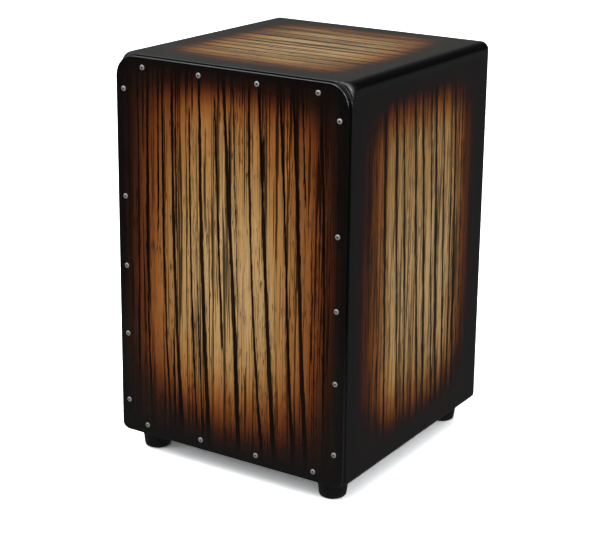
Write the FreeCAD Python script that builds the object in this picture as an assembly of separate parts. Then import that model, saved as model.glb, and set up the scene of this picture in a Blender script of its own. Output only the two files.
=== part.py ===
import FreeCAD, Part
import math
import os

# ---------------------------------------------------------------------------
# Cajon: a seat-height wooden box drum, played by hand on a thin front plate.
# Millimetres.  +Z up, the playing plate faces -Y, +X is the right-hand side of
# someone facing the plate.  Origin: on the floor, under the middle of the box.
# ---------------------------------------------------------------------------

os.makedirs("parts", exist_ok=True)
Vec = FreeCAD.Vector
ORIGIN, ALONG_X, ALONG_Y, UP = Vec(0, 0, 0), Vec(1, 0, 0), Vec(0, 1, 0), Vec(0, 0, 1)
FRONT, BACK = -1, 1                      # signs along Y
SIDES = (("left", -1), ("right", 1))     # signs along X

# --- box -----------------------------------------------------------------------
width = 300.0            # side face to side face
depth = 320.0            # face of the playing plate to face of the back panel
height = 468.0           # floor to seat
foot_height = 24.0       # rubber foot under the box
wall = 16.0              # seat, sides and bottom
edge_r = 10.0            # round on the upper long edges and the back edges
edge_r_low = 4.0         # lower long edges are only eased

# --- playing plate and front of the body ---------------------------------------
plate_t = 3.0
plate_inset = 0.25       # plate edge set in from the side faces and the box bottom
plate_drop = 1.0         # plate edge below the seat surface
plate_r_top = 25.0       # big upper corners
plate_r_bottom = 9.0     # smaller lower corners
plate_edge_r = 1.1       # softened front edge

rim_depth = 3.8          # recessed band of the body right behind the plate
rim_inset = 0.8          # band set in from the outside
rim_r = 0.7              # softened front edge of the body
band_lap = 0.5           # band runs this far into the collar
collar_t = 0.8           # straight front edge of the body, behind the band
roll_depth = 12.2        # collar and rolled corners together
# Distances forward from the box to the collar, as fractions of the roll's run.
roll_stations = (1.0, 0.975, 0.915, 0.82, 0.66, 0.42, 0.2, 0.0)

# --- back panel and inner strips -------------------------------------------------
back_t = 6.0             # back panel, let in between the walls
batten = 15.0            # square battens in front of the back panel
block_leg = 20.0         # triangular glue blocks in the long corners
block_setback = 6.0      # front of the glue blocks behind the back of the plate
port_r = 60.0            # sound port in the back panel
port_z = 300.0
port_round = 2.0

# --- plate and back screws: low pan head with cross recess -----------------------
screw_head_r = 2.9
screw_head_h = 1.0
screw_shank_r = 1.75
screw_cross = 3.8        # width of the cross recess
plate_screw_len = 25.0
back_screw_len = 18.0
hole_play = 0.05         # radial room around a screw in its pilot hole
overcut = 0.5            # pilot hole runs past both ends of the screw shank
through_cut = 1.0        # cutter sticks out of a piece it goes right through
plate_hole_r = 1.9

plate_row_x = (-113.0, -37.6, 37.6, 113.0)        # screws along top and bottom
plate_col_z = (38.0, 119.5, 201.0, 282.5, 405.0)  # screws up each side, above the box bottom
plate_col_x = 139.2
plate_top_z = 431.2      # top row, above the box bottom
plate_bottom_z = 12.0    # bottom row, above the box bottom
back_row_x = (-90.0, 0.0, 90.0)
back_col_z = (110.0, 247.0, 384.0)

# --- feet -----------------------------------------------------------------------
foot_x = 121.0
foot_y_front = -131.0
foot_y_rear = 124.0
foot_r_top = 18.0
foot_r_bottom = 15.4
foot_edge_r = 3.6
foot_bore_r = 8.0        # counterbore for washer and screw head
foot_bore_z = 12.0
foot_hole_r = 2.7
washer_r = 7.5
washer_t = 1.5
foot_screw_r = 2.5
foot_screw_head_r = 4.8
foot_screw_head_h = 3.0
foot_screw_len = 26.0
foot_screw_cross = 5.0

# --- snare bar and its cleats -----------------------------------------------------
bar_depth = 20.0         # wooden cross bar that carries the snares
bar_height = 30.0
bar_top_z = 345.0
bar_front_y = -137.0
cleat_x = 20.0
cleat_y = 22.0
cleat_z = 44.0
bar_screw_head_r = 4.0
bar_screw_head_h = 2.0
bar_screw_r = 2.0
bar_screw_len = 34.0
bar_screw_cross = 4.2
bar_screw_dz = 8.0       # screws above and below mid-height of the bar

# --- snare wires and clips --------------------------------------------------------
rail_r = 1.5             # end rail the strands are joined to
rail_room = 0.05
rail_back = 4.05         # rail axis behind the front of the bar
snare_half = 37.0        # half length of one end rail
snare_x = 68.0           # middle of each snare set
end_room = 1.0           # groove and clip reach past the rail at each end
strand_r = 0.8
strand_count = 10
strand_pitch = 7.4
strand_tip_z = 440.0
strand_gap = 0.15        # strand tip to back of playing plate

clip_t = 1.0
clip_drop = 18.0         # front flange below the top of the bar
clip_room = 0.1          # top flange above the rail
clip_back = 4.0          # rear face of the clip behind the rail axis
clip_bend_r = 0.6
slot_side = 0.5          # slot room on each side of a strand
slot_front = 2.3         # slot ends, from the rail axis
slot_back = 2.0
slot_under = 0.05        # slot cutter below and above the top flange
slot_over = 0.5
clip_screw_head_r = 2.9
clip_screw_head_h = 1.6
clip_screw_r = 1.4
clip_screw_len = 12.0
clip_screw_cross = 3.0
clip_screw_dx = 26.0     # screws left and right of the clip's middle
clip_screw_low = 1.0     # screws below mid-height of clip_drop

# --- derived ------------------------------------------------------------------------
half_width = width / 2.0
x_in = half_width - wall         # inner face of a side panel
y_front = -depth / 2.0
y_back = depth / 2.0
y_rim = y_front + plate_t        # back of the playing plate
y_edge = y_rim + rim_depth       # front edge of the body's outside
y_roll = y_edge + roll_depth     # rolled corners end, plain box begins
y_panel = y_back - back_t        # inner face of the back panel
y_batten = y_panel - batten      # front of the battens
z_low = foot_height
z_high = height
z_seat = z_high - wall           # underside of the seat
z_floor = z_low + wall           # top of the bottom panel
foot_head_z = foot_bore_z - washer_t
bar_mid_z = bar_top_z - bar_height / 2.0
rail_y = bar_front_y + rail_back
rail_z = bar_top_z
cos45 = math.cos(math.radians(45.0))


# --- helpers ------------------------------------------------------------------------
def box(x0, x1, y0, y1, z0, z1):
    return Part.makeBox(x1 - x0, y1 - y0, z1 - z0, Vec(x0, y0, z0))


def one(shape):
    """The single solid of a boolean result."""
    if len(shape.Solids) != 1:
        raise RuntimeError("expected one solid, got %d" % len(shape.Solids))
    return shape.Solids[0]


def xz_wire(segments, y=0.0):
    """Wire in the plane Y = y: two (x, z) points make a line, three make an arc."""
    edges = []
    for segment in segments:
        points = [Vec(x, y, z) for x, z in segment]
        curve = Part.LineSegment(*points) if len(points) == 2 else Part.Arc(*points)
        edges.append(curve.toShape())
    return Part.Wire(edges)


def outline(y, half, z0, z1, r_low, r_up):
    """Rounded rectangle in the plane Y = y, as a closed wire."""
    x_low, x_up = half - r_low, half - r_up        # arc centres
    zc_low, zc_up = z0 + r_low, z1 - r_up
    mid_low, mid_up = r_low * cos45, r_up * cos45  # arc middles, from the centres
    return xz_wire([
        ((-x_low, z0), (x_low, z0)),
        ((x_low, z0), (x_low + mid_low, zc_low - mid_low), (half, zc_low)),
        ((half, zc_low), (half, zc_up)),
        ((half, zc_up), (x_up + mid_up, zc_up + mid_up), (x_up, z1)),
        ((x_up, z1), (-x_up, z1)),
        ((-x_up, z1), (-x_up - mid_up, zc_up + mid_up), (-half, zc_up)),
        ((-half, zc_up), (-half, zc_low)),
        ((-half, zc_low), (-x_low - mid_low, zc_low - mid_low), (-x_low, z0)),
    ], y)


def revolve_z(profile):
    """Solid of revolution about Z from a closed (radius, z) profile."""
    return Part.Face(xz_wire(profile)).revolve(ORIGIN, UP, 360.0)


def edges_at(shape, test):
    return [edge for edge in shape.Edges if test(edge)]


def on_plane(edge, axis, value, tol=1e-4):
    bounds = edge.BoundBox
    low = {"x": bounds.XMin, "y": bounds.YMin, "z": bounds.ZMin}[axis]
    high = {"x": bounds.XMax, "y": bounds.YMax, "z": bounds.ZMax}[axis]
    return abs(low - value) < tol and abs(high - value) < tol


def wall_strip(side, thickness):
    """X range of a strip lying against the inner face of a side panel."""
    return sorted((side * x_in, side * (x_in - thickness)))


def pan_screw(head_r, head_h, shank_r, length, cross):
    """Pan head with cross recess.  Head underside at z = 0, head up, shank down to -length."""
    rim_h = head_h * 0.28
    dome_mid = (head_r * 0.72, rim_h + (head_h - rim_h) * 0.66)
    point_z = -length + shank_r * 1.9    # top of the conical point
    body = revolve_z([
        ((0.0, -length), (shank_r, point_z)),
        ((shank_r, point_z), (shank_r, 0.0)),
        ((shank_r, 0.0), (head_r, 0.0)),
        ((head_r, 0.0), (head_r, rim_h)),
        ((head_r, rim_h), dome_mid, (0.0, head_h)),
        ((0.0, head_h), (0.0, -length)),
    ])
    recess = head_h * 0.70
    arm_half = cross * 0.12
    arm_z = head_h - recess
    arm_x = Part.makeBox(cross, 2 * arm_half, recess + 1.0, Vec(-cross / 2, -arm_half, arm_z))
    arm_y = Part.makeBox(2 * arm_half, cross, recess + 1.0, Vec(-arm_half, -cross / 2, arm_z))
    cone = Part.makeCone(cross * 0.10, cross * 0.42, head_h + 1.0, Vec(0, 0, -0.4))
    return body.cut(arm_x).cut(arm_y).cut(cone)


def y_holes(points, radius, length, start_y, facing=FRONT):
    """Cylinders at (x, z) points, drilled from the side that `facing` names."""
    return Part.makeCompound(
        [Part.makeCylinder(radius, length, Vec(x, start_y, z), Vec(0, -facing, 0))
         for x, z in points])


def pilots(points, shank_r, screw_len, face_y, facing=FRONT):
    """Pilot holes for screws whose heads sit on the plane Y = face_y."""
    return y_holes(points, shank_r + hole_play, screw_len + 2 * overcut,
                   face_y + facing * overcut, facing)


def screw_set(screw, points, face_y, facing=FRONT, first_turn=0):
    """Screws with heads on the plane Y = face_y, each recess turned differently."""
    screws = []
    for i, (x, z) in enumerate(points, first_turn):
        copy = screw.copy()
        copy.rotate(ORIGIN, UP, (37 * i) % 90)
        copy.rotate(ORIGIN, ALONG_X, -90.0 * facing)    # head from +Z to the facing side
        copy.translate(Vec(x, face_y, z))
        screws.append(one(copy))
    return Part.makeCompound(screws)


parts = {}


# --- outer form of the wooden box -----------------------------------------------------
def is_low_long(edge):
    return on_plane(edge, "z", z_low) and (
        on_plane(edge, "x", -half_width) or on_plane(edge, "x", half_width))


def plain_box():
    """Box behind the rolled corners, all edges rounded but those of its front."""
    main = box(-half_width, half_width, y_roll, y_back, z_low, z_high)
    main = main.makeFillet(edge_r, edges_at(
        main, lambda e: not on_plane(e, "y", y_roll) and not is_low_long(e)))
    return main.makeFillet(edge_r_low, edges_at(
        main, lambda e: is_low_long(e) and e.BoundBox.YLength > depth / 2))


def front_collar():
    """Front edge of the body, with the same corners as the plate."""
    wire = outline(y_edge, half_width, z_low, z_high, plate_r_bottom, plate_r_top)
    collar = Part.Face(wire).extrude(Vec(0, collar_t, 0))
    return collar.makeFillet(rim_r, edges_at(collar, lambda e: on_plane(e, "y", y_edge)))


def rolled_corners():
    """Corner radii change along a quarter ellipse from the collar's to the box's."""
    run = roll_depth - collar_t
    sections = []
    for station in roll_stations:
        blend = math.sqrt(1.0 - station * station)
        sections.append(outline(y_roll - run * station, half_width, z_low, z_high,
                                plate_r_bottom + (edge_r_low - plate_r_bottom) * blend,
                                plate_r_top + (edge_r - plate_r_top) * blend))
    return Part.makeLoft(sections, True, True)


def shadow_band():
    """Band right behind the plate, set in so that a fine shadow line runs around it."""
    wire = outline(y_rim, half_width - rim_inset, z_low + rim_inset, z_high - rim_inset,
                   plate_r_bottom, plate_r_top)
    return Part.Face(wire).extrude(Vec(0, rim_depth + band_lap, 0))


form = one(plain_box().fuse(rolled_corners()).fuse(front_collar()).fuse(shadow_band())
           .removeSplitter())

# --- screw positions and pilot holes ----------------------------------------------------
plate_points = [(x, z_low + z) for x in plate_row_x for z in (plate_top_z, plate_bottom_z)]
plate_points += [(x, z_low + z) for z in plate_col_z for x in (-plate_col_x, plate_col_x)]

batten_mid_x = x_in - batten / 2.0
batten_mid_z = (z_floor + batten / 2.0, z_seat - batten / 2.0)
back_points = [(x, z) for z in batten_mid_z for x in back_row_x]
back_points += [(x, z) for x in (-batten_mid_x, batten_mid_x) for z in back_col_z]

foot_points = [("front_left", -foot_x, foot_y_front), ("front_right", foot_x, foot_y_front),
               ("rear_left", -foot_x, foot_y_rear), ("rear_right", foot_x, foot_y_rear)]

plate_pilots = pilots(plate_points, screw_shank_r, plate_screw_len, y_front)
back_pilots = pilots(back_points, screw_shank_r, back_screw_len, y_back, BACK)
foot_pilot_z = z_low - through_cut
foot_pilot_len = foot_head_z + foot_screw_len + overcut - foot_pilot_z
foot_pilots = Part.makeCompound(
    [Part.makeCylinder(foot_screw_r + hole_play, foot_pilot_len, Vec(x, y, foot_pilot_z), UP)
     for _, x, y in foot_points])

# --- walls: the outer form cut into seat, sides and bottom --------------------------------
far = 1000.0             # beyond the box in any direction
seat = form.common(box(-far, far, -far, far, z_seat, far))
parts["seat_panel"] = one(seat.cut(plate_pilots))

for name, side in SIDES:
    x0, x1 = sorted((side * x_in, side * far))
    panel = form.common(box(x0, x1, -far, far, -far, z_seat))
    parts["side_panel_" + name] = one(panel.cut(plate_pilots))

bottom = form.common(box(-x_in, x_in, -far, far, -far, z_floor))
parts["bottom_panel"] = one(bottom.cut(plate_pilots).cut(foot_pilots))


# --- playing plate --------------------------------------------------------------------------
def playing_plate():
    wire = outline(y_front, half_width - plate_inset, z_low + plate_inset, z_high - plate_drop,
                   plate_r_bottom - plate_inset, plate_r_top)
    plate = Part.Face(wire).extrude(Vec(0, plate_t, 0))
    plate = plate.makeFillet(plate_edge_r, edges_at(plate, lambda e: on_plane(e, "y", y_front)))
    return one(plate.cut(y_holes(plate_points, plate_hole_r, plate_t + 2 * through_cut,
                                 y_front - through_cut)))


parts["playing_plate"] = playing_plate()


# --- back panel with sound port ---------------------------------------------------------------
def back_panel():
    panel = box(-x_in, x_in, y_panel, y_back, z_floor, z_seat)
    panel = panel.cut(Part.makeCylinder(port_r, back_t + 2 * through_cut,
                                        Vec(0, y_panel - through_cut, port_z), ALONG_Y))
    rims = edges_at(panel, lambda e: abs(e.BoundBox.XLength - 2 * port_r) < 0.01
                    and e.BoundBox.YLength < 0.01)
    return one(panel.makeFillet(port_round, rims).cut(back_pilots))


parts["back_panel"] = back_panel()


# --- battens in front of the back panel, glue blocks in the long corners ------------------------
def back_batten(x0, x1, z0, z1):
    return one(box(x0, x1, y_batten, y_panel, z0, z1).cut(back_pilots))


def glue_block(side, corner_z, leg_z):
    """Triangular block: corner_z is the height of its square corner, leg_z its other end."""
    y0 = y_rim + block_setback
    corner = Vec(side * x_in, y0, corner_z)
    triangle = Part.makePolygon([corner, Vec(side * (x_in - block_leg), y0, corner_z),
                                 Vec(side * x_in, y0, leg_z), corner])
    return one(Part.Face(triangle).extrude(Vec(0, y_batten - y0, 0)))


batten_in = x_in - batten
parts["back_batten_top"] = back_batten(-batten_in, batten_in, z_seat - batten, z_seat)
parts["back_batten_bottom"] = back_batten(-batten_in, batten_in, z_floor, z_floor + batten)
for name, side in SIDES:
    x0, x1 = wall_strip(side, batten)
    parts["back_batten_" + name] = back_batten(x0, x1, z_floor, z_seat)
    parts["glue_block_top_" + name] = glue_block(side, z_seat, z_seat - block_leg)
    parts["glue_block_bottom_" + name] = glue_block(side, z_floor, z_floor + block_leg)


# --- feet with washers and screws -----------------------------------------------------------------
def foot(x, y):
    round_x = foot_r_bottom - foot_edge_r    # centre of the rounded lower edge
    round_mid = foot_edge_r * cos45
    shape = revolve_z([
        ((foot_hole_r, z_low), (foot_r_top, z_low)),
        ((foot_r_top, z_low), (foot_r_bottom, foot_edge_r)),
        ((foot_r_bottom, foot_edge_r), (round_x + round_mid, foot_edge_r - round_mid),
         (round_x, 0.0)),
        ((round_x, 0.0), (foot_bore_r, 0.0)),
        ((foot_bore_r, 0.0), (foot_bore_r, foot_bore_z)),
        ((foot_bore_r, foot_bore_z), (foot_hole_r, foot_bore_z)),
        ((foot_hole_r, foot_bore_z), (foot_hole_r, z_low)),
    ])
    shape.translate(Vec(x, y, 0))
    return one(shape)


def foot_washer(x, y):
    washer = Part.makeCylinder(washer_r, washer_t, Vec(x, y, foot_head_z), UP)
    return one(washer.cut(Part.makeCylinder(foot_hole_r, washer_t + 2 * through_cut,
                                            Vec(x, y, foot_head_z - through_cut), UP)))


def foot_screw(x, y):
    screw = pan_screw(foot_screw_head_r, foot_screw_head_h, foot_screw_r, foot_screw_len,
                      foot_screw_cross)
    head_down = FreeCAD.Rotation(UP, Vec(0, 0, -1))
    screw.Placement = FreeCAD.Placement(Vec(x, y, foot_head_z), head_down)
    return one(screw)


for name, x, y in foot_points:
    parts["foot_" + name] = foot(x, y)
parts["foot_washers"] = Part.makeCompound([foot_washer(x, y) for _, x, y in foot_points])
parts["foot_screws"] = Part.makeCompound([foot_screw(x, y) for _, x, y in foot_points])

# --- screws of the playing plate and of the back panel ----------------------------------------------
plate_screw = pan_screw(screw_head_r, screw_head_h, screw_shank_r, plate_screw_len, screw_cross)
back_screw = pan_screw(screw_head_r, screw_head_h, screw_shank_r, back_screw_len, screw_cross)
parts["plate_screws"] = screw_set(plate_screw, plate_points, y_front)
parts["back_panel_screws"] = screw_set(back_screw, back_points, y_back, BACK)

# --- snare bar, cleats and their screws ---------------------------------------------------------------
bar_points = [(side * (x_in - cleat_x / 2.0), bar_mid_z + dz)
              for _, side in SIDES for dz in (-bar_screw_dz, bar_screw_dz)]
clip_points = [(side * snare_x + dx, bar_top_z - clip_drop / 2.0 - clip_screw_low)
               for _, side in SIDES for dx in (-clip_screw_dx, clip_screw_dx)]
clip_front_y = bar_front_y - clip_t
bar_pilots = pilots(bar_points, bar_screw_r, bar_screw_len, bar_front_y)
clip_pilots = pilots(clip_points, clip_screw_r, clip_screw_len, clip_front_y)


def snare_bar():
    """Cross bar with a groove in its top for each end rail."""
    bar = box(-x_in, x_in, bar_front_y, bar_front_y + bar_depth,
              bar_top_z - bar_height, bar_top_z)
    for _, side in SIDES:
        start = Vec(side * snare_x - snare_half - end_room, rail_y, rail_z)
        bar = bar.cut(Part.makeCylinder(rail_r + rail_room, 2 * (snare_half + end_room),
                                        start, ALONG_X))
    return one(bar.cut(bar_pilots).cut(clip_pilots))


def snare_cleat(side):
    """Block on the side panel, behind the end of the bar."""
    x0, x1 = wall_strip(side, cleat_x)
    y0 = bar_front_y + bar_depth
    cleat = box(x0, x1, y0, y0 + cleat_y, bar_mid_z - cleat_z / 2.0, bar_mid_z + cleat_z / 2.0)
    return one(cleat.cut(bar_pilots))


bar_screw = pan_screw(bar_screw_head_r, bar_screw_head_h, bar_screw_r, bar_screw_len,
                      bar_screw_cross)
clip_screw = pan_screw(clip_screw_head_r, clip_screw_head_h, clip_screw_r, clip_screw_len,
                       clip_screw_cross)
parts["snare_bar"] = snare_bar()
parts["snare_bar_screws"] = screw_set(bar_screw, bar_points, bar_front_y, first_turn=5)
parts["snare_clip_screws"] = screw_set(clip_screw, clip_points, clip_front_y, first_turn=9)


# --- snare wires and clips ------------------------------------------------------------------------------
def strand_axis():
    """Direction and length of a strand leaning forward until its end just clears the plate."""
    tip_y = y_rim + strand_gap + strand_r
    rise = strand_tip_z - rail_z
    for _ in range(20):      # the lean and the tip's place depend on each other
        lean = math.atan2(rail_y - tip_y, rise)
        tip_y = y_rim + strand_gap + strand_r * math.cos(lean)
    return Vec(0, -math.sin(lean), math.cos(lean)), math.hypot(rail_y - tip_y, rise)


def strand_xs(mid_x):
    return [mid_x + (i - (strand_count - 1) / 2.0) * strand_pitch for i in range(strand_count)]


def snare_wires(mid_x):
    """Strands rising from an end rail."""
    direction, length = strand_axis()
    wires = Part.makeCylinder(rail_r, 2 * snare_half,
                              Vec(mid_x - snare_half, rail_y, rail_z), ALONG_X)
    for x in strand_xs(mid_x):
        wires = wires.fuse(Part.makeCylinder(strand_r, length, Vec(x, rail_y, rail_z), direction))
    return one(wires.removeSplitter())


def snare_clip(mid_x):
    """Front flange screwed to the bar, top flange over the rail with a slot for each strand,
    and a rear lip that stands on the bar."""
    x0, x1 = mid_x - snare_half - end_room, mid_x + snare_half + end_room
    y0, y1 = clip_front_y, rail_y + clip_back
    under_z = bar_top_z + rail_r + clip_room
    top_z = under_z + clip_t
    clip = box(x0, x1, y0, bar_front_y, bar_top_z - clip_drop, top_z)
    clip = clip.fuse(box(x0, x1, y0, y1, under_z, top_z))
    clip = clip.fuse(box(x0, x1, y1 - clip_t, y1, bar_top_z, top_z))
    clip = clip.removeSplitter()
    slot_half = strand_r + slot_side
    for x in strand_xs(mid_x):
        clip = clip.cut(box(x - slot_half, x + slot_half, rail_y - slot_front,
                            rail_y + slot_back, under_z - slot_under, top_z + slot_over))
    bend = edges_at(clip, lambda e: e.BoundBox.XLength > 2 * snare_half
                    and on_plane(e, "y", y0) and on_plane(e, "z", top_z))
    return one(clip.makeFillet(clip_bend_r, bend).cut(clip_pilots))


for name, side in SIDES:
    parts["snare_cleat_" + name] = snare_cleat(side)
    parts["snare_wires_" + name] = snare_wires(side * snare_x)
    parts["snare_clip_" + name] = snare_clip(side * snare_x)

for name, shape in parts.items():
    shape.exportStep("parts/%s.step" % name)
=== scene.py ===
"""A snare cajon: a box drum of veneered plywood with two sets of snare wires behind the plate.

The frame is centred on x = 0 and y = 0 and stands on z = 0. The playing plate faces -y, the
seat faces +z and the right side faces +x. Pieces are measured in mm; floor, world and lights in m.
"""
import bpy
import bmesh
import math
from mathutils import Matrix, Vector

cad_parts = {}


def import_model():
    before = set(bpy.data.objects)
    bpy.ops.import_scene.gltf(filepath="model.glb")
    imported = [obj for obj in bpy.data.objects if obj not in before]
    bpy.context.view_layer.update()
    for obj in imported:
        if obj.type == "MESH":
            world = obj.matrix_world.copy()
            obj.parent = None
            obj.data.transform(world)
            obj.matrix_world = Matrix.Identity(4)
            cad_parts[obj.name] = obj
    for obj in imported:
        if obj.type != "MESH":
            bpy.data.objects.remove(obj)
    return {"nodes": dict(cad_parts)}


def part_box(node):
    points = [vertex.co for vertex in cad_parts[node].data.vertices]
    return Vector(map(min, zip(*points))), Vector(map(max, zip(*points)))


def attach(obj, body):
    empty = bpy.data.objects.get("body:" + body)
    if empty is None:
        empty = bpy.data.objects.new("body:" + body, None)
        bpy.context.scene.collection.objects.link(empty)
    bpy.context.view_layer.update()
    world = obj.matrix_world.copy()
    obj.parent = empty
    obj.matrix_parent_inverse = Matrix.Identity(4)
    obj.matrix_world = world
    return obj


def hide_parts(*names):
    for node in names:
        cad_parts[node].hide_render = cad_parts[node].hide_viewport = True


MM = 0.001
HALF_WIDTH = 150.0      # of the box, along x
HALF_DEPTH = 160.0      # of the box, along y
DEPTH = 2 * HALF_DEPTH
BOX_FOOT = 24.0         # z where the box starts, above the feet
BOX_HEIGHT = 444.0


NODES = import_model()["nodes"]
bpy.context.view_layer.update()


# ---------------------------------------------------------------- node helpers
# The helpers add nodes to `owner`, the material or world being built.
owner = None


class Value:
    """A node's output socket; Python's operators on it build Math nodes."""

    def __init__(self, socket):
        self.socket = socket

    def __add__(self, other):
        return calc("ADD", self, other)

    def __sub__(self, other):
        return calc("SUBTRACT", self, other)

    def __rsub__(self, other):
        return calc("SUBTRACT", other, self)

    def __mul__(self, other):
        return calc("MULTIPLY", self, other)

    def __truediv__(self, other):
        return calc("DIVIDE", self, other)

    def __abs__(self):
        return calc("ABSOLUTE", self)


def begin(new_owner):
    global owner
    owner = new_owner
    owner.use_nodes = True
    owner.node_tree.nodes.clear()


def add_node(kind, inputs=(), **settings):
    """A new node; inputs is a list in socket order, or a dict by socket name or index."""
    new = owner.node_tree.nodes.new("ShaderNode" + kind)
    for name, setting in settings.items():
        setattr(new, name, setting)
    if not isinstance(inputs, dict):
        inputs = dict(enumerate(inputs))
    for key, value in inputs.items():
        socket = new.inputs[key]
        if isinstance(value, Value):
            owner.node_tree.links.new(value.socket, socket)
        elif socket.type == "RGBA":
            socket.default_value = (*value, 1.0)
        else:
            socket.default_value = value
    return new


def node(kind, inputs=(), output=0, **settings):
    return Value(add_node(kind, inputs, **settings).outputs[output])


def calc(operation, *values):
    return node("Math", values, operation=operation)


def muladd(value, factor, offset):
    return calc("MULTIPLY_ADD", value, factor, offset)


def lerp(mask, start, end):
    """start where the mask is 0, end where it is 1."""
    return muladd(mask, end - start, start)


def centred(noise_value, span):
    """Noise of 0..1 spread over span, about zero."""
    return muladd(noise_value, span, -span / 2)


def maximum(first, second):
    return calc("MAXIMUM", first, second)


def minimum(first, second):
    return calc("MINIMUM", first, second)


def split(vector):
    return [Value(socket) for socket in add_node("SeparateXYZ", [vector]).outputs]


def noise(vector, scale=1.0, detail=2.0, rough=0.5, distortion=0.0):
    return node("TexNoise", {"Vector": vector, "Scale": scale, "Detail": detail,
                             "Roughness": rough, "Distortion": distortion})


def grain(across, along, scales, level, **settings):
    """Noise stretched over a plane; scales are per mm across and along, level picks its slice."""
    plane = node("CombineXYZ", [across * scales[0], along * scales[1], level])
    return noise(plane, **settings)


def stretched(point, scales):
    return node("CombineXYZ", [value * scale for value, scale in zip(point, scales)])


def voronoi(vector, scale):
    return node("TexVoronoi", {"Vector": vector, "Scale": scale}, "Distance", feature="F1")


def smoothstep(value, start, end, low=0.0, high=1.0):
    return node("MapRange", [value, start, end, low, high],
                interpolation_type="SMOOTHSTEP", clamp=True)


def ramp(factor, stops):
    """Colour ramp through stops of (position, colour)."""
    new = add_node("ValToRGB", [factor])
    elements = new.color_ramp.elements
    while len(elements) < len(stops):
        elements.new(0.5)
    for element, (position, _) in zip(elements, stops):
        element.position = position
    for element, (_, colour) in zip(elements, stops):
        element.color = (*colour, 1.0)
    return Value(new.outputs[0])


def fade_curve(distance, points):
    """Piecewise-linear curve through points of (distance in mm, value)."""
    reach = points[-1][0]
    stops = [(place / reach, (value,) * 3) for place, value in points]
    return node("SeparateColor", [ramp(distance * (1.0 / reach), stops)])


def mix(factor, first, second, mode="MIX"):
    return node("Mix", {0: factor, 6: first, 7: second}, 2,
                data_type="RGBA", blend_type=mode, clamp_factor=True)


def darken(amount, base, tint):
    return mix(amount, base, mix(1.0, base, tint, "MULTIPLY"))


def bump(height, strength, distance):
    return node("Bump", {"Strength": strength, "Distance": distance, "Height": height})


def begin_material(name):
    """Starts a material and returns the position in the object, in mm."""
    begin(bpy.data.materials.new(name))
    place = node("TexCoord", output="Object")
    return node("VectorMath", {0: place, "Scale": 1000.0}, operation="SCALE")


def surface_normal():
    """x, y and z of the normal, in the object's own axes."""
    world_normal = node("NewGeometry", output="Normal")
    return split(node("VectorTransform", [world_normal], vector_type="NORMAL",
                      convert_from="WORLD", convert_to="OBJECT"))


SOCKETS = {"colour": "Base Color", "rough": "Roughness", "metal": "Metallic",
           "normal": "Normal", "spec": "Specular IOR Level",
           "coat": "Coat Weight", "coat_rough": "Coat Roughness"}


def principled(**values):
    """Ends the material with a Principled surface and returns it."""
    inputs = {SOCKETS[name]: value for name, value in values.items()}
    add_node("OutputMaterial", [node("BsdfPrincipled", inputs)])
    return owner


def srgb(*levels):
    """Linear colour from 0..255 display levels."""
    shares = [level / 255 for level in levels]
    return tuple(s / 12.92 if s <= 0.04045 else ((s + 0.055) / 1.055) ** 2.4 for s in shares)


# ---------------------------------------------------------------- striped veneer
# Dark stripes: place across the grain at the start, middle and end of the run, half width at
# the start and end, then, for a stripe that stops short, the shares of the run it covers.
PLATE_STRIPES = [
    (-119, -121, -123, 0.5, 0.7), (-106, -109, -107, 1.3, 1.4),
    (-92, -94, -96, 0.7, 0.5, -0.1, 0.45), (-86, -86, -81, 0.7, 1.2),
    (-73, -72, -65, 1.3, 2.3), (-69, -68, -66, 0.6, 0.6, 0.15, 0.5),
    (-50, -49, -44, 0.9, 1.2, 0.07, 1.2), (-42, -41, -36, 0.5, 1.1, 0.6, 1.2),
    (-37, -34, -28, 1.5, 2.7), (-17, -11, -5, 0.9, 1.2, 0.03, 0.78),
    (-5, 5, 13, 1.4, 2.8), (1, 5, 8, 0.6, 0.5, 0.08, 0.38),
    (7, 12, 15, 0.6, 0.6, -0.1, 0.6), (28, 31, 42, 1.2, 1.6), (41, 49, 59, 1.7, 2.5),
    (45, 46, 47, 2.8, 1.5, 0.08, 0.25), (68, 76, 84, 1.3, 1.7), (84, 92, 101, 1.3, 2.8),
    (88, 92, 95, 0.5, 0.5, 0.08, 0.32), (95, 101, 104, 0.6, 0.5, -0.1, 0.28),
    (105, 108, 110, 0.4, 0.5, 0.4, 0.75), (118, 123, 125, 1.2, 1.3),
    (-77, -75, -73, 0.5, 1.1, 0.78, 1.2)]
RIGHT_STRIPES = [
    (43, 47, 52, 0.6, 0.6), (57, 64, 71, 0.8, 1.0), (75, 81, 87, 2.6, 1.6),
    (98, 107, 116, 2.3, 1.7), (113, 125, 132, 1.6, 1.5), (139, 151, 163, 2.2, 2.2),
    (156, 168, 177, 2.4, 1.8), (177, 186, 198, 1.3, 1.5), (188, 197, 208, 2.2, 2.6),
    (206, 215, 224, 1.6, 1.8), (226, 232, 236, 0.8, 1.8), (234, 242, 248, 1.9, 2.6),
    (252, 257, 262, 0.7, 0.9)]
LEFT_STRIPES = [
    (46, 49, 50, 0.9, 0.7), (66, 70, 74, 1.8, 1.3), (84, 86, 93, 0.8, 1.0),
    (96, 104, 108, 2.5, 2.0), (120, 127, 138, 1.6, 2.2), (142, 149, 156, 1.2, 1.4),
    (161, 167, 175, 2.4, 1.9), (182, 192, 196, 1.9, 2.6), (205, 210, 221, 1.3, 1.2),
    (219, 228, 233, 2.2, 2.5), (244, 246, 254, 1.5, 1.3)]
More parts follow.
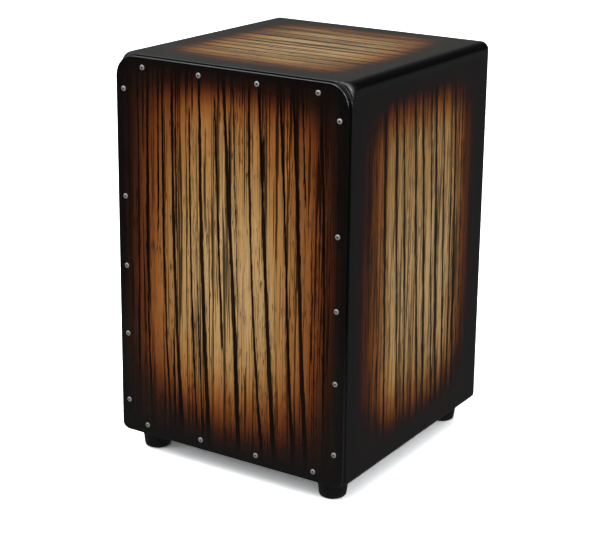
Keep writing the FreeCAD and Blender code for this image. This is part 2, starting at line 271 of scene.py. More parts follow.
SEAT_STRIPES = [
    (44, 46, 45, 0.8, 0.8), (62, 61, 63, 0.9, 0.9), (80, 79, 81, 1.5, 1.2),
    (100, 99, 101, 1.2, 1.4), (117, 116, 116, 2.6, 1.8), (134, 133, 132, 1.4, 1.6),
    (155, 155, 154, 1.6, 1.3), (170, 171, 170, 1.3, 1.6), (195, 195, 194, 2.4, 1.9),
    (217, 216, 216, 1.6, 1.9), (240, 240, 239, 1.9, 1.4), (262, 263, 262, 1.0, 1.1)]

# How the finish fades in from each edge: (distance in mm, share of the full golden tone).
PLATE_LEFT = [(0, 0), (8, 0.02), (12, 0.08), (20, 0.17), (28, 0.27), (37, 0.35), (48, 0.46),
              (58, 0.55), (70, 0.66), (80, 0.76), (92, 0.87), (110, 0.95), (140, 1)]
PLATE_RIGHT = [(0, 0), (7, 0.03), (11, 0.09), (17, 0.18), (25, 0.29), (31, 0.38), (39, 0.47),
               (48, 0.57), (64, 0.66), (78, 0.77), (94, 0.87), (112, 0.95), (140, 1)]
PLATE_TOP = [(0, 0), (6, 0.03), (11, 0.10), (18, 0.18), (25, 0.27), (31, 0.36), (38, 0.46),
             (45, 0.54), (53, 0.61), (66, 0.70), (100, 0.79), (140, 0.88), (180, 0.96), (215, 1)]
PLATE_LOW = [(0, 0), (9, 0.03), (16, 0.10), (24, 0.18), (33, 0.26), (44, 0.35), (56, 0.44),
             (66, 0.52), (78, 0.62), (95, 0.76), (120, 0.88), (160, 0.97), (200, 1)]
SIDE_FRONT = [(0, 0), (20, 0.02), (30, 0.14), (38, 0.24), (46, 0.34), (56, 0.43), (66, 0.52),
              (76, 0.66), (84, 0.82), (95, 0.93), (115, 1)]
SIDE_BACK = [(0, 0), (24, 0.02), (32, 0.12), (40, 0.22), (48, 0.31), (56, 0.41), (63, 0.54),
             (70, 0.70), (80, 0.85), (100, 1)]
SIDE_TOP = [(0, 0), (20, 0.02), (27, 0.13), (35, 0.25), (42, 0.34), (49, 0.43), (56, 0.52),
            (64, 0.62), (76, 0.76), (95, 0.85), (150, 0.92), (210, 1)]
SIDE_LOW = [(0, 0), (18, 0.02), (26, 0.12), (34, 0.22), (43, 0.32), (52, 0.42), (60, 0.51),
            (68, 0.60), (76, 0.70), (90, 0.82), (130, 0.93), (190, 1)]
SEAT_EDGE = [(0, 0), (18, 0.03), (28, 0.13), (36, 0.27), (44, 0.43), (52, 0.59), (62, 0.73),
             (76, 0.84), (96, 0.95), (125, 1)]

# Finish colours from the black border to the golden middle: (share, display levels).
FINISH = [(0.0, (6, 11, 14)), (0.08, (24, 15, 13)), (0.16, (38, 19, 14)), (0.25, (62, 31, 18)),
          (0.33, (86, 44, 21)), (0.42, (107, 59, 27)), (0.50, (123, 73, 34)),
          (0.58, (134, 84, 41)), (0.66, (143, 98, 51)), (0.75, (152, 110, 62)),
          (0.84, (160, 123, 75)), (0.92, (167, 132, 85)), (1.0, (174, 141, 96))]

# Noise layers of the veneer: scale per mm across and along the grain, slice, detail, roughness.
LAYERS = {
    "warp": (0.010, 0.0055, 3.1, 2, 0.5),       # slow drift of the stripes
    "waver": (0.10, 0.030, 9.7, 2, 0.6),        # finer drift
    "swell": (0.045, 0.009, 5.3, 3, 0.6),       # stripes thicken and thin
    "ragged": (0.9, 0.075, 1.9, 3, 0.65),       # rough stripe edges
    "band": (0.085, 0.0035, 2.2, 2, 0.55),      # broad light and dark bands
    "fibre": (1.3, 0.040, 7.7, 3, 0.65),
    "hatch": (0.30, 0.42, 4.1, 2, 0.7),
    "busy": (0.055, 0.0060, 8.8, 2, 0.6),       # where the fine marks gather
    "breaks": (0.35, 0.0065, 17.3, 2, 0.6),     # gaps in the lines
    "hairlines": (0.62, 0.0024, 6.5, 2, 0.55),
    "thin stripes": (0.25, 0.0040, 11.5, 2, 0.5),
    "pores": (1.05, 0.050, 12.9, 1, 0.5),
    "pore rows": (0.42, 0.0050, 21.7, 2, 0.5),
    "row dots": (1.2, 0.065, 23.3, 1, 0.5),
    "smoke": (0.55, 0.016, 14.4, 3, 0.65),
    "patches": (0.15, 0.0050, 31.4, 2, 0.6),
    "patch streaks": (0.9, 0.022, 33.1, 2, 0.6),
}

# gain, lift: finish colours lose lift and are divided by gain; smoke, patch, fine, core:
# strength of the smoky wood, its patches, the fine marks and the stripes;
# streak, grey: display levels of the dark wood and of the smoky wood.
PLATE_LOOK = dict(gain=0.80, lift=(0.000, 0.0018, 0.0030), smoke=0.36, patch=0.35,
                  fine=1.0, core=0.97, streak=(9, 8, 8), grey=(72, 62, 50))
SIDE_LOOK = dict(gain=0.775, lift=(0.0060, 0.0065, 0.0100), smoke=0.85, patch=1.0,
                 fine=0.92, core=0.95, streak=(26, 20, 14), grey=(62, 51, 36))
SEAT_LOOK = dict(gain=0.90, lift=(0.001, 0.001, 0.006), smoke=0.55, patch=0.8,
                 fine=0.95, core=0.85, streak=(14, 14, 13), grey=(70, 62, 52))


def layer(name, across, along, seed):
    scale_across, scale_along, level, detail, rough = LAYERS[name]
    return grain(across, along, (scale_across, scale_along), level + seed,
                 detail=detail, rough=rough)


def stripes(across, along, run, table, rag, seed):
    """Depth inside the nearest stripe in mm, positive inside, and the warped place across.

    run goes 0..1 along the grain and rag scales the raggedness."""
    warp_by, waver_by = 3.0, 1.5        # drift in mm
    end_slope = 18.0                    # mm lost per unit of run at a stripe's end
    warp = layer("warp", across, along, seed)
    waver = layer("waver", across, along, seed)
    wavy = muladd(warp, warp_by, across) + muladd(waver, waver_by, -(warp_by + waver_by) / 2)
    field = None
    for start, middle, end, half_start, half_end, *span in table:
        square = 2.0 * (start + end - 2.0 * middle)
        centre = muladd(muladd(run, square, end - start - square), run, start)
        offset = abs(wavy - centre)
        depth = lerp(run, half_start, half_end) - offset
        if span:
            half, mean = (span[1] - span[0]) / 2.0, (span[0] + span[1]) / 2.0
            depth = minimum(depth, muladd(abs(run - mean), -end_slope, end_slope * half))
        field = depth if field is None else maximum(field, depth)
    field = field + centred(layer("swell", across, along, seed), 3.2 * rag)
    field = field + centred(layer("ragged", across, along, seed), 2.4 * rag)
    return field, wavy


def burst(point, edges):
    """0 in the black border to 1 in the golden middle; edges holds (distance, fade curve)."""
    wobble = centred(noise(stretched(point, (0.011, 0.011, 0.008)), detail=1.0), 10.0)
    product = None
    for distance, points in edges:
        fade = fade_curve(distance + wobble, points)
        product = fade if product is None else product * fade
    return product


def veneer_colour(across, along, gold, field, seed, look):
    """The veneer's colour, and the fibre, stripe and fine mark masks it is made of."""
    def tone(levels):
        return tuple(max(0.0005, (level - lift) / look["gain"])
                     for level, lift in zip(srgb(*levels), look["lift"]))

    def part(name):
        return layer(name, across, along, seed)

    fibre = part("fibre")
    busy = smoothstep(part("busy"), 0.40, 0.58)
    breaks = smoothstep(part("breaks"), 0.30, 0.42)
    hairlines = smoothstep(muladd(busy, 0.060, part("hairlines")), 0.590, 0.622) * breaks
    thin_stripes = (smoothstep(part("thin stripes"), 0.600, 0.630)
                    * smoothstep(breaks, 0.0, 1.0, low=0.35))
    pores = smoothstep(muladd(busy, 0.080, part("pores")), 0.678, 0.715)
    rows = smoothstep(part("pore rows"), 0.56, 0.60) * busy
    rows = rows * smoothstep(part("row dots"), 0.49, 0.56)
    near = smoothstep(field, -6.0, 0.5)         # halo beside each stripe
    smoke = near * smoothstep(part("smoke"), 0.44, 0.62)
    patches = (smoothstep(part("patches"), 0.55, 0.63)
               * smoothstep(part("patch streaks"), 0.40, 0.58))
    core = smoothstep(field, -0.40, 0.40)

    # the bands shift the finish, less so in the black border
    share = gold + centred(part("band"), 0.30) * minimum(gold * 1.6, 1.0)
    colour = ramp(share, [(position, tone(levels)) for position, levels in FINISH])
    colour = darken(smoothstep(fibre, 0.30, 0.70) * 0.42, colour, (0.50, 0.43, 0.35))
    colour = darken(smoothstep(part("hatch"), 0.52, 0.80) * 0.25, colour, (0.42, 0.39, 0.37))
    dark_wood = tone(look["streak"])
    grey_wood = mix(smoothstep(gold, 0.20, 0.75), dark_wood, tone(look["grey"]))
    smoky = maximum(smoke, patches * look["patch"]) * look["smoke"]
    colour = mix(smoky, colour, grey_wood)
    marks = maximum(pores * 0.80, rows * 0.70)
    marks = maximum(hairlines * 0.90, maximum(thin_stripes * 0.88, marks)) * look["fine"]
    colour = mix(marks, colour, dark_wood)
    colour = mix(core * look["core"], colour, dark_wood)
    return colour, fibre, core, marks


def veneer_relief(fibre, core, marks):
    return muladd(fibre, 0.5, 0.5) - muladd(core, 0.4, marks * 0.3)


# ---------------------------------------------------------------- plywood
def bare_ply(across, along, pale, seed):
    """Rotary-cut face grain: its colour, fibre and pores."""
    def shade(*levels):
        return tuple(level * pale for level in srgb(*levels))

    figure = grain(across, along, (0.035, 0.006), 1.7 + seed,
                   detail=3.0, rough=0.6, distortion=0.8)
    rings = calc("FRACT", figure * 9.0)
    rings = smoothstep(abs(rings - 0.5), 0.5, 0.25)
    fibre = grain(across, along, (1.4, 0.05), 4.9 + seed, detail=3.0, rough=0.6)
    pores = smoothstep(grain(across, along, (0.9, 0.12), 8.2 + seed, detail=1.0), 0.66, 0.72)
    colour = mix(muladd(rings, 0.35, fibre * 0.4), shade(214, 184, 140), shade(176, 138, 92))
    return mix(pores * 0.45, colour, srgb(110, 78, 48)), fibre, pores


def ply_edge(pos, point, depth, ply):
    """Light and dark plies on a cut edge; depth runs through the sheet, ply is one layer, mm."""
    wobble = noise(stretched(point, (0.06, 0.06, 0.06)))
    cycle = calc("FRACT", muladd(wobble, 0.35, depth) / (2.0 * ply))
    dark_ply = smoothstep(abs(cycle - 0.5), 0.22, 0.28)
    fibre = noise(pos, 0.9, detail=3.0, rough=0.6)
    colour = mix(dark_ply, srgb(196, 160, 112), srgb(138, 98, 60))
    glue = smoothstep(abs(abs(cycle - 0.5) - 0.25), 0.035, 0.0)
    colour = mix(glue * 0.7, colour, srgb(64, 40, 24))
    return mix(smoothstep(fibre, 0.5, 0.75) * 0.35, colour, srgb(92, 62, 38))


# ---------------------------------------------------------------- veneered panels
def sheet_colour(pos, point, normal, veneer, face, inner, gold, ply):
    """Veneer on the show face, bare ply inside, black edges; with two masks.

    clear is the golden middle, which mirrors less than the border. dull covers the edge
    faces in front of y = -153, and grows with height."""
    clear = face * smoothstep(gold, 0.05, 0.35)
    black = mix(noise(pos, 0.02), srgb(7, 8, 8), srgb(12, 12, 12))
    colour = mix(inner, mix(face, black, veneer), ply)
    sideways = smoothstep(maximum(abs(normal[0]), abs(normal[2])), 0.93, 0.985)
    dull = sideways * smoothstep(point[1], -152.8, -153.2) * smoothstep(point[2], 60.0, 230.0)
    return colour, clear, dull


def plate_veneer():
    """Playing plate: glossy lacquer with orange peel and faint rub marks."""
    pos = begin_material("plate_striped_veneer_gloss")
    x, y, z = point = split(pos)
    normal = surface_normal()
    height = z - BOX_FOOT
    run = (414.0 - height) / 360.0
    field, wavy = stripes(x, height, run, PLATE_STRIPES, rag=0.9, seed=0.0)
    gold = burst(point, [(x + HALF_WIDTH, PLATE_LEFT), (HALF_WIDTH - x, PLATE_RIGHT),
                         (BOX_HEIGHT - height, PLATE_TOP), (height, PLATE_LOW)])
    veneer, fibre, core, marks = veneer_colour(wavy, height, gold, field + 0.25, 0.0, PLATE_LOOK)
    face = smoothstep(normal[1] * -1.0, 0.80, 0.97)
    inner = smoothstep(normal[1], 0.80, 0.97)
    ply = bare_ply(x, z, pale=0.9, seed=3.0)[0]
    colour, clear, dull = sheet_colour(pos, point, normal, veneer, face, inner, gold, ply)

    peel = noise(pos, 0.16)
    rub = noise(stretched(point, (0.02, 0.02, 0.03)), detail=3.0, rough=0.6)
    relief = muladd(veneer_relief(fibre, core, marks), 0.35, peel * 0.5)
    rough = muladd(smoothstep(rub, 0.45, 0.75), 0.06, muladd(core, 0.03, 0.17))
    rough = muladd(inner, 0.45, rough)
    return principled(
        colour=mix(dull, colour, srgb(5, 5, 5)),
        rough=muladd(dull, 0.3, rough),
        spec=lerp(dull, 0.42, 0.01) * lerp(clear, 1.0, 0.4),
        normal=bump(relief, strength=0.20, distance=0.00012),
        coat=(1.0 - inner) * (1.0 - dull) * lerp(clear, 1.0, 0.5) * 0.35,
        coat_rough=0.06)


def side_veneer(name, outward, table, seed):
    """Side panel: satin lacquer, with a leathery black border. outward is the sign of its x."""
    pos = begin_material(name)
    x, y, z = point = split(pos)
    normal = surface_normal()
    height = z - BOX_FOOT
    from_front = y + HALF_DEPTH
    run = (404.0 - height) / 360.0
    field, wavy = stripes(from_front, height, run, table, rag=1.3, seed=seed)
    gold = burst(point, [(from_front, SIDE_FRONT), (DEPTH - from_front, SIDE_BACK),
                         (BOX_HEIGHT - height, SIDE_TOP), (height, SIDE_LOW)])
    veneer, fibre, core, marks = veneer_colour(wavy, height, gold, field, seed, SIDE_LOOK)
    face = smoothstep(normal[0] * outward, 0.85, 0.98)
    inner = smoothstep(normal[0] * -outward, 0.85, 0.98)
    ply = bare_ply(y, z, pale=0.9, seed=6.0)[0]
    colour, clear, dull = sheet_colour(pos, point, normal, veneer, face, inner, gold, ply)

    satin = noise(pos, 0.8, rough=0.6)
    leather = voronoi(pos, 0.42) * (1.0 - smoothstep(gold, 0.1, 0.5))
    relief = veneer_relief(fibre, core, marks) * 0.4 + (satin * 0.3 + leather * 0.6)
    rough = muladd(satin, 0.08, muladd(core, 0.03, 0.33))
    return principled(
        colour=mix(dull, colour, srgb(5, 5, 5)),
        rough=muladd(inner, 0.35, rough),
        spec=lerp(dull, 0.5, 0.05) * lerp(clear, 1.0, 0.5),
        normal=bump(relief, strength=0.30, distance=0.00018))


def seat_veneer():
    """Seat: a fine grit over the veneer turns it matt; grey mixed into its colour on the flat top
    is painted sheen.
    """
    pos = begin_material("seat_striped_veneer_grit")
    x, y, z = point = split(pos)
    normal = surface_normal()
    from_front = y + HALF_DEPTH
    run = (x + 110.0) / 220.0
    field, wavy = stripes(from_front, x, run, SEAT_STRIPES, rag=1.0, seed=40.0)
    gold = burst(point, [(from_front, SEAT_EDGE), (DEPTH - from_front, SEAT_EDGE),
                         (x + HALF_WIDTH, SEAT_EDGE), (HALF_WIDTH - x, SEAT_EDGE)])
    veneer = veneer_colour(wavy, x, gold, field, 40.0, SEAT_LOOK)[0]
    up = normal[2]
    face = smoothstep(up, 0.85, 0.98)
    inner = smoothstep(up * -1.0, 0.85, 0.98)
    ply = bare_ply(y, x, pale=0.9, seed=6.0)[0]
    colour, clear, dull = sheet_colour(pos, point, normal, veneer, face, inner, gold, ply)

    grains = noise(pos, 1.5, rough=0.7)
    grit = grains * 0.7 + smoothstep(voronoi(pos, 0.9), 0.1, 0.7) * 0.3
    level = smoothstep(up, 0.9935, 0.9993)      # the grit stops where the rounding begins
    # painted sheen: grey spread over the grit grains on the flat top stands in for the seat's
    # sheen, and is weaker in the golden middle
    painted_sheen = smoothstep(grains, 0.40, 0.70) * (level * lerp(clear, 1.0, 0.75) * 0.30)
    colour = mix(painted_sheen, colour, srgb(120, 119, 118))
    turned = ((1.0 - level) * smoothstep(up, 0.05, 0.35)    # the rounding, behind the front edge
              * smoothstep(y, -150.0, -140.0))
    return principled(
        colour=mix(maximum(dull, turned * 0.6), colour, srgb(6, 6, 6)),
        rough=muladd(level, 0.24, muladd(grains, 0.10, 0.28)),
        spec=lerp(dull, 0.5, 0.01) * lerp(turned, 1.0, 0.18) * lerp(level, 1.0, 0.30),
        normal=bump(grit * lerp(level, 0.1, 1.0), strength=0.55, distance=0.00022))


# ---------------------------------------------------------------- other surfaces
def back_paint():
    """Back sheet: black satin paint outside, bare inside, darkened plies in the round port."""
    port_height, port_fade = 300.0, (64.0, 61.5)    # z of its centre, radii of the mask's edge
    pos = begin_material("back_black_satin")
    x, y, z = point = split(pos)
    facing_back = surface_normal()[1]
    roller = noise(pos, 0.55, detail=3.0, rough=0.65)
    specks = voronoi(pos, 0.6)
    dust = smoothstep(noise(pos, 0.018, detail=4.0, rough=0.7), 0.5, 0.85)
    paint = mix(dust * 0.5, srgb(12, 13, 13), srgb(26, 26, 25))
    outer = smoothstep(facing_back, 0.70, 0.92)
    inner = smoothstep(facing_back * -1.0, 0.85, 0.97)
    radius = calc("SQRT", x * x + (z - port_height) * (z - port_height))
    port = smoothstep(radius, *port_fade) * (1.0 - outer)
    edge = mix(0.35, ply_edge(pos, point, depth=y, ply=1.2), srgb(20, 14, 10))
    colour = mix(inner, paint, bare_ply(x, z, pale=0.9, seed=12.0)[0])
    return principled(
        colour=mix(port * (1.0 - inner), colour, edge),
        rough=muladd(inner, 0.28, muladd(roller, 0.14, 0.34)),
        spec=0.5,
        normal=bump(roller * 0.6 + specks * 0.4, strength=0.35, distance=0.00020))


def bottom_ply():
    """Bottom sheet: bare inside, thin black paint below, plies just showing on the edges."""
    black = srgb(12, 12, 12)
    pos = begin_material("bottom_bare_ply")
    x, y, z = point = split(pos)
    up = surface_normal()[2]
    bare, fibre, pores = bare_ply(x, y, pale=0.82, seed=21.0)
    relief = fibre - pores * 0.5
    from_edge = calc("SMOOTH_MIN", HALF_WIDTH - abs(x), HALF_DEPTH - abs(y), 6.0)
    cloud = noise(pos, 0.05, detail=3.0, rough=0.6)
    worn = smoothstep(cloud, 0.58, 0.72) * smoothstep(from_edge, 10.0, 40.0)
    paint = lerp(worn, 1.0, 0.82) * smoothstep(up * -1.0, 0.2, 0.6)
    plies = ply_edge(pos, point, depth=z, ply=1.6)
    cut = 1.0 - smoothstep(abs(up), 0.5, 0.85)
    colour = mix(cut, bare, mix(muladd(cloud, 0.10, 0.88), plies, black))
    return principled(
        colour=mix(paint * 0.97, colour, black),
        rough=muladd(relief, 0.1, 0.62),
        spec=0.3,
        normal=bump(relief, strength=0.3, distance=0.00020))


def softwood(axis, seed):
    """Planed softwood with its grain along one axis."""
    pos = begin_material("softwood_grain_" + axis)
    axes = dict(zip("xyz", split(pos)))
    along = axes.pop(axis)
    point = (*axes.values(), along)
    figure = noise(stretched(point, (0.16, 0.16, 0.006)), distortion=0.4)
    ring = abs(calc("FRACT", figure * 11.0) - 0.5)
    late = smoothstep(ring, 0.42, 0.20)
    fibre = noise(stretched(point, (1.5, 1.5, 0.05)), 1.0 + 0.01 * seed, detail=3.0, rough=0.6)
    colour = mix(muladd(late, 0.6, fibre * 0.25), srgb(222, 190, 142), srgb(176, 124, 72))
    fuzz = noise(pos, 0.10, detail=3.0, rough=0.6)
    return principled(
        colour=mix(smoothstep(fuzz, 0.5, 0.8) * 0.3, colour, srgb(150, 118, 84)),
        rough=muladd(fibre, 0.12, 0.56),
        spec=0.35,
        normal=bump(fibre - late * 0.25, strength=0.35, distance=0.00022))


def drive_shade(pos, rows, columns):
    """Painted shade over the drive of each screw head; each grid is (|x| values, z values)."""
    x, _, z = split(pos)
    across = abs(x)

    def nearest(value, places):
        closest = None
        for place in places:
            gap = abs(value - place)
            closest = gap if closest is None else minimum(closest, gap)
        return closest

    def radius(grid):
        gap_x, gap_z = nearest(across, grid[0]), nearest(z, grid[1])
        return calc("SQRT", gap_x * gap_x + gap_z * gap_z)

    return smoothstep(minimum(radius(rows), radius(columns)), 1.55, 0.95)


def metal(name, levels, rough, wear=0.3, scale=0.8, metallic=1.0, painted=False, hollow_shade=0.0,
          heads=None):
    """Spotted bare metal, or paint worn through at the edges, with painted shade in the hollows.
    """
    pos = begin_material(name)
    cloud = noise(pos, scale, detail=3.0, rough=0.6)
    fine = noise(pos, 3.2, rough=0.6)
    if painted:
        worn = smoothstep(node("NewGeometry", output="Pointiness"), 0.50, 0.56)
        colour = mix(worn * 0.75, srgb(*levels), srgb(120, 118, 114))
        metallic = worn * 0.8
    else:
        spots = smoothstep(noise(pos, 0.35, detail=4.0, rough=0.7), 0.55, 0.75)
        colour = mix(spots * wear, srgb(*levels), srgb(96, 92, 86))
    # painted shade: ambient occlusion darkens the colour towards (9, 9, 9) in the hollows and
    # takes metal away there
    if hollow_shade:
        occlusion = node("AmbientOcclusion", {"Distance": 0.0016}, "AO",
                         samples=6, only_local=True)
        hollow = smoothstep(occlusion, 0.80, 0.35)
        colour = mix(hollow * hollow_shade, colour, srgb(9, 9, 9))
        if not painted:
            metallic = (1.0 - hollow * hollow_shade) * metallic
    # painted shade: a dark, cloudy spot over the drive recess of each plate screw head
    if heads:
        drive_shade_amount = drive_shade(pos, *heads) * muladd(cloud, 0.5, 0.62)
        colour = mix(drive_shade_amount, colour, srgb(30, 29, 28))
        metallic = (1.0 - drive_shade_amount) * metallic
    return principled(
        colour=colour,
        rough=muladd(cloud, 0.14, muladd(fine, 0.06, rough)),
        metal=metallic,
        normal=bump(cloud * 0.5 + fine * 0.5, strength=0.16, distance=0.00006))


def foot_rubber():
    """Black rubber, dusty, and scuffed in its lowest 5 mm."""
    pos = begin_material("foot_rubber_black")
    texture = noise(pos, 1.3, detail=3.0, rough=0.65)
    dust = smoothstep(noise(pos, 0.09, detail=4.0, rough=0.7), 0.52, 0.8)
    low = smoothstep(split(pos)[2], 5.0, 0.0)
    scuff = low * smoothstep(noise(pos, 0.5, detail=3.0, rough=0.7), 0.40, 0.62)
    colour = mix(dust * 0.45, srgb(12, 12, 12), srgb(34, 33, 32))
    return principled(
        colour=mix(scuff * 0.6, colour, srgb(62, 60, 57)),
        rough=muladd(texture, 0.18, muladd(low, 0.12, 0.44)),
        spec=0.4,
        normal=bump(texture, strength=0.35, distance=0.00016))


# ---------------------------------------------------------------- materials on the pieces
# Plate screws: |x| and z of the top and bottom rows, then of the columns at the sides.
PLATE_SCREWS = (((37.6, 113.0), (36, 455.2)),
                ((139.2,), (62.0, 143.5, 225.0, 306.5, 429.0)))

MATERIALS = {
    "playing_plate": plate_veneer(),
    "side_panel_right": side_veneer("side_right_striped_veneer", 1.0, RIGHT_STRIPES, 20.0),
    "side_panel_left": side_veneer("side_left_striped_veneer", -1.0, LEFT_STRIPES, 51.0),
    "seat_panel": seat_veneer(),
    "back_panel": back_paint(),
    "bottom_panel": bottom_ply(),
}


def share_material(material, *names):
    MATERIALS.update(dict.fromkeys(names, material))


share_material(softwood("z", 1), "back_batten_left", "back_batten_right",
               "snare_cleat_left", "snare_cleat_right")
share_material(softwood("x", 2), "back_batten_top", "back_batten_bottom", "snare_bar")
share_material(softwood("y", 3), "glue_block_top_left", "glue_block_top_right",
               "glue_block_bottom_left", "glue_block_bottom_right")
share_material(metal("screw_zinc_steel", (138, 137, 135), 0.34, wear=0.35, metallic=0.55,
                     hollow_shade=0.97),
               "snare_clip_screws", "snare_bar_screws", "foot_screws", "foot_washers")
share_material(metal("plate_screw_zinc_steel", (172, 171, 169), 0.36, metallic=0.55,
                     hollow_shade=0.9, heads=PLATE_SCREWS), "plate_screws")
share_material(metal("clip_sheet_steel", (176, 178, 180), 0.28, scale=0.5),
               "snare_clip_left", "snare_clip_right")
share_material(metal("screw_black_paint", (16, 16, 16), 0.34, painted=True, hollow_shade=0.8),
               "back_panel_screws")
WIRE = metal("snare_wire_bright", (190, 190, 188), 0.20, wear=0.25, scale=1.6)
share_material(WIRE, "snare_wires_left", "snare_wires_right")
share_material(foot_rubber(), "foot_front_left", "foot_front_right",
               "foot_rear_left", "foot_rear_right")

for name, piece in NODES.items():
    slots = piece.data.materials
    if not slots:
        slots.append(MATERIALS[name])
    for index in range(len(slots)):
        slots[index] = MATERIALS[name]

# ---------------------------------------------------------------- snare wires
SET_X = 68.0            # centre of each set, from the middle
STRANDS = 10
STRAND_PITCH = 7.4
RAIL_Y, RAIL_Z = -132.95, 345.0
RAIL_HALF = STRANDS * STRAND_PITCH / 2
RAIL_RADIUS = 1.5
RAIL_END_RADIUS = 0.35  # smallest radius, at the tips
RAIL_ROUNDING = 0.8     # length of the rounding at each tip
RAIL_SEGMENTS, RAIL_SIDES = 75, 14
BEAD_RISE = 1.15        # solder beads, above the rail's axis
BEAD_RADII = (1.15, 0.85, 0.95)
COIL_RADIUS = 0.52
COIL_PITCH = 1.5
COIL_STEPS = 7          # points per turn
WIRE_RADIUS = 0.24


def link(name, data):
    new = bpy.data.objects.new(name, data)
    bpy.context.scene.collection.objects.link(new)
    return new


def strand(x, end_y, end_z):
    """Helix from the rail to (end_y, end_z), opening from a point and narrowing at its end."""
    start = Vector((x, RAIL_Y, RAIL_Z))
    axis = Vector((x, end_y, end_z)) - start
    length = axis.length
    axis.normalize()
    side = Vector((1, 0, 0))
    other = axis.cross(side).normalized()
    count = int(length / COIL_PITCH * COIL_STEPS)
    points = [start]
    for i in range(1, count + 1):
        share = i / count
        angle = 2 * math.pi * i / COIL_STEPS
        fade = min(1.0, share * 12.0, (1.0 - share) * 12.0 + 0.25)
        turn = side * math.cos(angle) + other * math.sin(angle)
        points.append(start + axis * (share * length) + turn * COIL_RADIUS * fade)
    return points


def coils(name, strand_places, end_y, end_z):
    data = bpy.data.curves.new(name, "CURVE")
    data.dimensions = "3D"
    data.bevel_depth = WIRE_RADIUS * MM
    data.bevel_resolution = 1
    data.use_fill_caps = True
    for x in strand_places:
        points = strand(x, end_y, end_z)
        spline = data.splines.new("POLY")
        spline.points.add(len(points) - 1)
        for target, point in zip(spline.points, points):
            target.co = (*(point * MM), 1.0)
    new = link(name, data)
    data.materials.append(WIRE)
    return new


def rail(name, centre_x, strand_places):
    """Round-ended rod across the strands, with a solder bead under each."""
    bm = bmesh.new()
    rings = []
    for i in range(RAIL_SEGMENTS + 1):
        share = i / RAIL_SEGMENTS
        x = centre_x - RAIL_HALF + 2 * RAIL_HALF * share
        from_tip = min(share, 1 - share) * 2 * RAIL_HALF
        inset = max(0.0, 1 - from_tip / RAIL_ROUNDING)
        radius = max(RAIL_END_RADIUS, RAIL_RADIUS * math.sqrt(1 - inset ** 2))
        ring = []
        for k in range(RAIL_SIDES):
            angle = 2 * math.pi * k / RAIL_SIDES
            ring.append(bm.verts.new((x * MM, (RAIL_Y + radius * math.cos(angle)) * MM,
                                      (RAIL_Z + radius * math.sin(angle)) * MM)))
        rings.append(ring)
    for near, far in zip(rings, rings[1:]):
        for k in range(RAIL_SIDES):
            after = (k + 1) % RAIL_SIDES
            bm.faces.new((near[k], near[after], far[after], far[k]))
    bm.faces.new(rings[0][::-1])
    bm.faces.new(rings[-1])
    for x in strand_places:
        place = Vector((x * MM, RAIL_Y * MM, (RAIL_Z + BEAD_RISE) * MM))
        bead = Matrix.Translation(place) @ Matrix.Diagonal((*BEAD_RADII, 1.0))
        bmesh.ops.create_icosphere(bm, subdivisions=2, radius=1.0 * MM, matrix=bead)
    bmesh.ops.recalc_face_normals(bm, faces=bm.faces)
    mesh = bpy.data.meshes.new(name)
    bm.to_mesh(mesh)
    bm.free()
    for polygon in mesh.polygons:
        polygon.use_smooth = True
    new = link(name, mesh)
    mesh.materials.append(WIRE)
    return new


for side, centre_x in (("left", -SET_X), ("right", SET_X)):
    low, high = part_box("snare_wires_" + side)
    places = [centre_x + (i - (STRANDS - 1) / 2) * STRAND_PITCH for i in range(STRANDS)]
    wires = coils("snare_coils_" + side, places, low.y / MM + 0.80, high.z / MM - 0.4)
    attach(wires, "snare_set_" + side)
    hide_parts("snare_wires_" + side)
    rod = rail("snare_rail_" + side, centre_x, places)
    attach(rod, "snare_set_" + side)

# ---------------------------------------------------------------- camera
AZIMUTH = math.radians(31.039)      # from -y towards +x
ELEVATION = math.radians(15.697)
ROLL = math.radians(1.105)
DISTANCE = 1808.387
TARGET = Vector((57.644, -10.0, 295.579))

back = Vector((math.sin(AZIMUTH) * math.cos(ELEVATION),
               -math.cos(AZIMUTH) * math.cos(ELEVATION), math.sin(ELEVATION)))
eye = (TARGET + back * DISTANCE) * MM
level_right = (-back).cross(Vector((0, 0, 1))).normalized()
level_up = level_right.cross(-back)
right = level_right * math.cos(ROLL) + level_up * math.sin(ROLL)
up = -level_right * math.sin(ROLL) + level_up * math.cos(ROLL)
camera_data = bpy.data.cameras.new("camera")
camera = link("camera", camera_data)
camera.matrix_world = Matrix((*zip(right, up, back, eye), (0, 0, 0, 1)))
camera_data.sensor_fit = "HORIZONTAL"
camera_data.sensor_width = 36.0
camera_data.lens = 94.845338
camera_data.shift_x = -0.07221689
camera_data.shift_y = -0.11929305
camera_data.clip_start = 0.05
camera_data.clip_end = 100.0
bpy.context.scene.camera = camera


# ---------------------------------------------------------------- floor and world
# What reflections see of the floor, from y = -1.6 m to y = 0.4 m: (share, brightness).
FLOOR_GLOW = [(0.0, 0.038), (0.45, 0.052), (0.60, 0.100), (0.72, 0.118), (0.84, 0.122),
              (1.0, 0.122)]


def ray_masks():
    rays = add_node("LightPath").outputs
    return Value(rays["Is Camera Ray"]), Value(rays["Is Glossy Ray"])


def floor_material():
    """Pale floor: brighter to the camera, and a dim gradient in reflections."""
    begin(bpy.data.materials.new("floor_pale"))
    to_camera, to_glossy = ray_masks()
    lit = node("BsdfDiffuse", [(0.85, 0.86, 0.87)])
    seen = node("BsdfDiffuse", [(2.46, 2.5, 2.53)])
    y = split(node("NewGeometry", output="Position"))[1]
    share = node("MapRange", [y, -1.6, 0.4, 0.0, 1.0])
    glow = ramp(share, [(place, (v * 0.95, v, v * 0.99)) for place, v in FLOOR_GLOW])
    surface = node("MixShader", [to_camera, lit, seen])
    surface = node("MixShader", [to_glossy, surface, node("Emission", [glow])])
    add_node("OutputMaterial", [surface])
    return owner


def build_floor():
    bm = bmesh.new()
    bmesh.ops.create_grid(bm, x_segments=4, y_segments=4, size=12.0)
    mesh = bpy.data.meshes.new("floor")
    bm.to_mesh(mesh)
    bm.free()
    floor = link("floor", mesh)
    mesh.materials.append(floor_material())


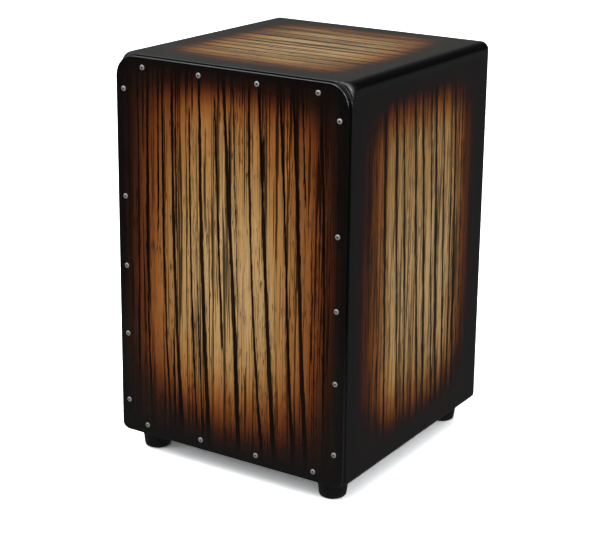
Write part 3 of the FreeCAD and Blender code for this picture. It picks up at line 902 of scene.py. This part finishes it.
def build_world():
    """White to the camera, softer as light, and one broad glow behind left in reflections."""
    world = bpy.data.worlds.new("studio")
    bpy.context.scene.world = world
    begin(world)
    to_camera, to_glossy = ray_masks()
    seen = node("Background", [(1, 1, 1), 1.0])
    light = node("Background", [(1, 1, 1), 0.70])
    glow_direction = Vector((-0.62, 0.72, 0.30)).normalized()
    facing = node("VectorMath", [node("TexCoord", output="Generated"), glow_direction],
                  "Value", operation="DOT_PRODUCT")
    strength = smoothstep(facing, 0.70, 0.97, low=0.045, high=0.27)
    mirrored = node("Background", [(0.97, 1.0, 1.0), strength])
    sky = node("MixShader", [to_glossy, light, mirrored])
    add_node("OutputWorld", [node("MixShader", [to_camera, sky, seen])])


build_floor()
build_world()


# ---------------------------------------------------------------- lights
def area(name, location, target, size, power, along=None):
    """Rectangular light aimed at target; along turns its long side that way."""
    data = bpy.data.lights.new(name, "AREA")
    data.shape = "RECTANGLE"
    data.size, data.size_y = size
    data.energy = power
    light = link(name, data)
    light.location = location
    away = Vector(location) - Vector(target)
    if along:
        away.normalize()
        x = Vector(along)
        x = (x - away * x.dot(away)).normalized()
        light.rotation_euler = Matrix((x, away.cross(x), away)).transposed().to_euler()
    else:
        light.rotation_euler = (-away).to_track_quat("-Z", "Y").to_euler()
    light.visible_camera = False
    return light


# name, location, target, size, power
LIGHTS = [
    ("key_overhead", (-0.95, -1.0, 2.3), (0, 0, 0.25), (2.3, 1.3), 29.0),
    ("fill_left", (-1.9, -1.9, 1.2), (0, 0, 0.25), (1.2, 1.6), 13.0),
    ("fill_right", (2.2, -0.3, 1.3), (0.1, 0, 0.25), (1.0, 1.4), 11.0),
    ("back_rim", (0.4, 1.9, 1.7), (0, 0, 0.4), (1.4, 0.8), 7.0),
]
# Lights that show only as reflections; the last column is the direction of the long side.
GLINTS = [
    ("edge_strip", (0.10, -1.0, 2.3), (0.1, -0.16, 0.45), (3.9, 0.30), 28.0, (2.6, -1.0, 0.0)),
    ("overhead_right", (0.45, -0.50, 2.3), (0.1, -0.16, 0.45), (3.4, 1.2), 38.0,
     (2.6, -1.0, 0.0)),
    ("corner_box", (1.42, -1.50, 1.75), (0.15, -0.16, 0.45), (1.0, 0.9), 30.0,
     (0.74, 0.67, 0.0)),
]
for row in LIGHTS:
    area(*row).visible_glossy = row[0] != "back_rim"
for row in GLINTS:
    area(*row).visible_diffuse = False

bpy.context.scene.view_settings.view_transform = "Standard"
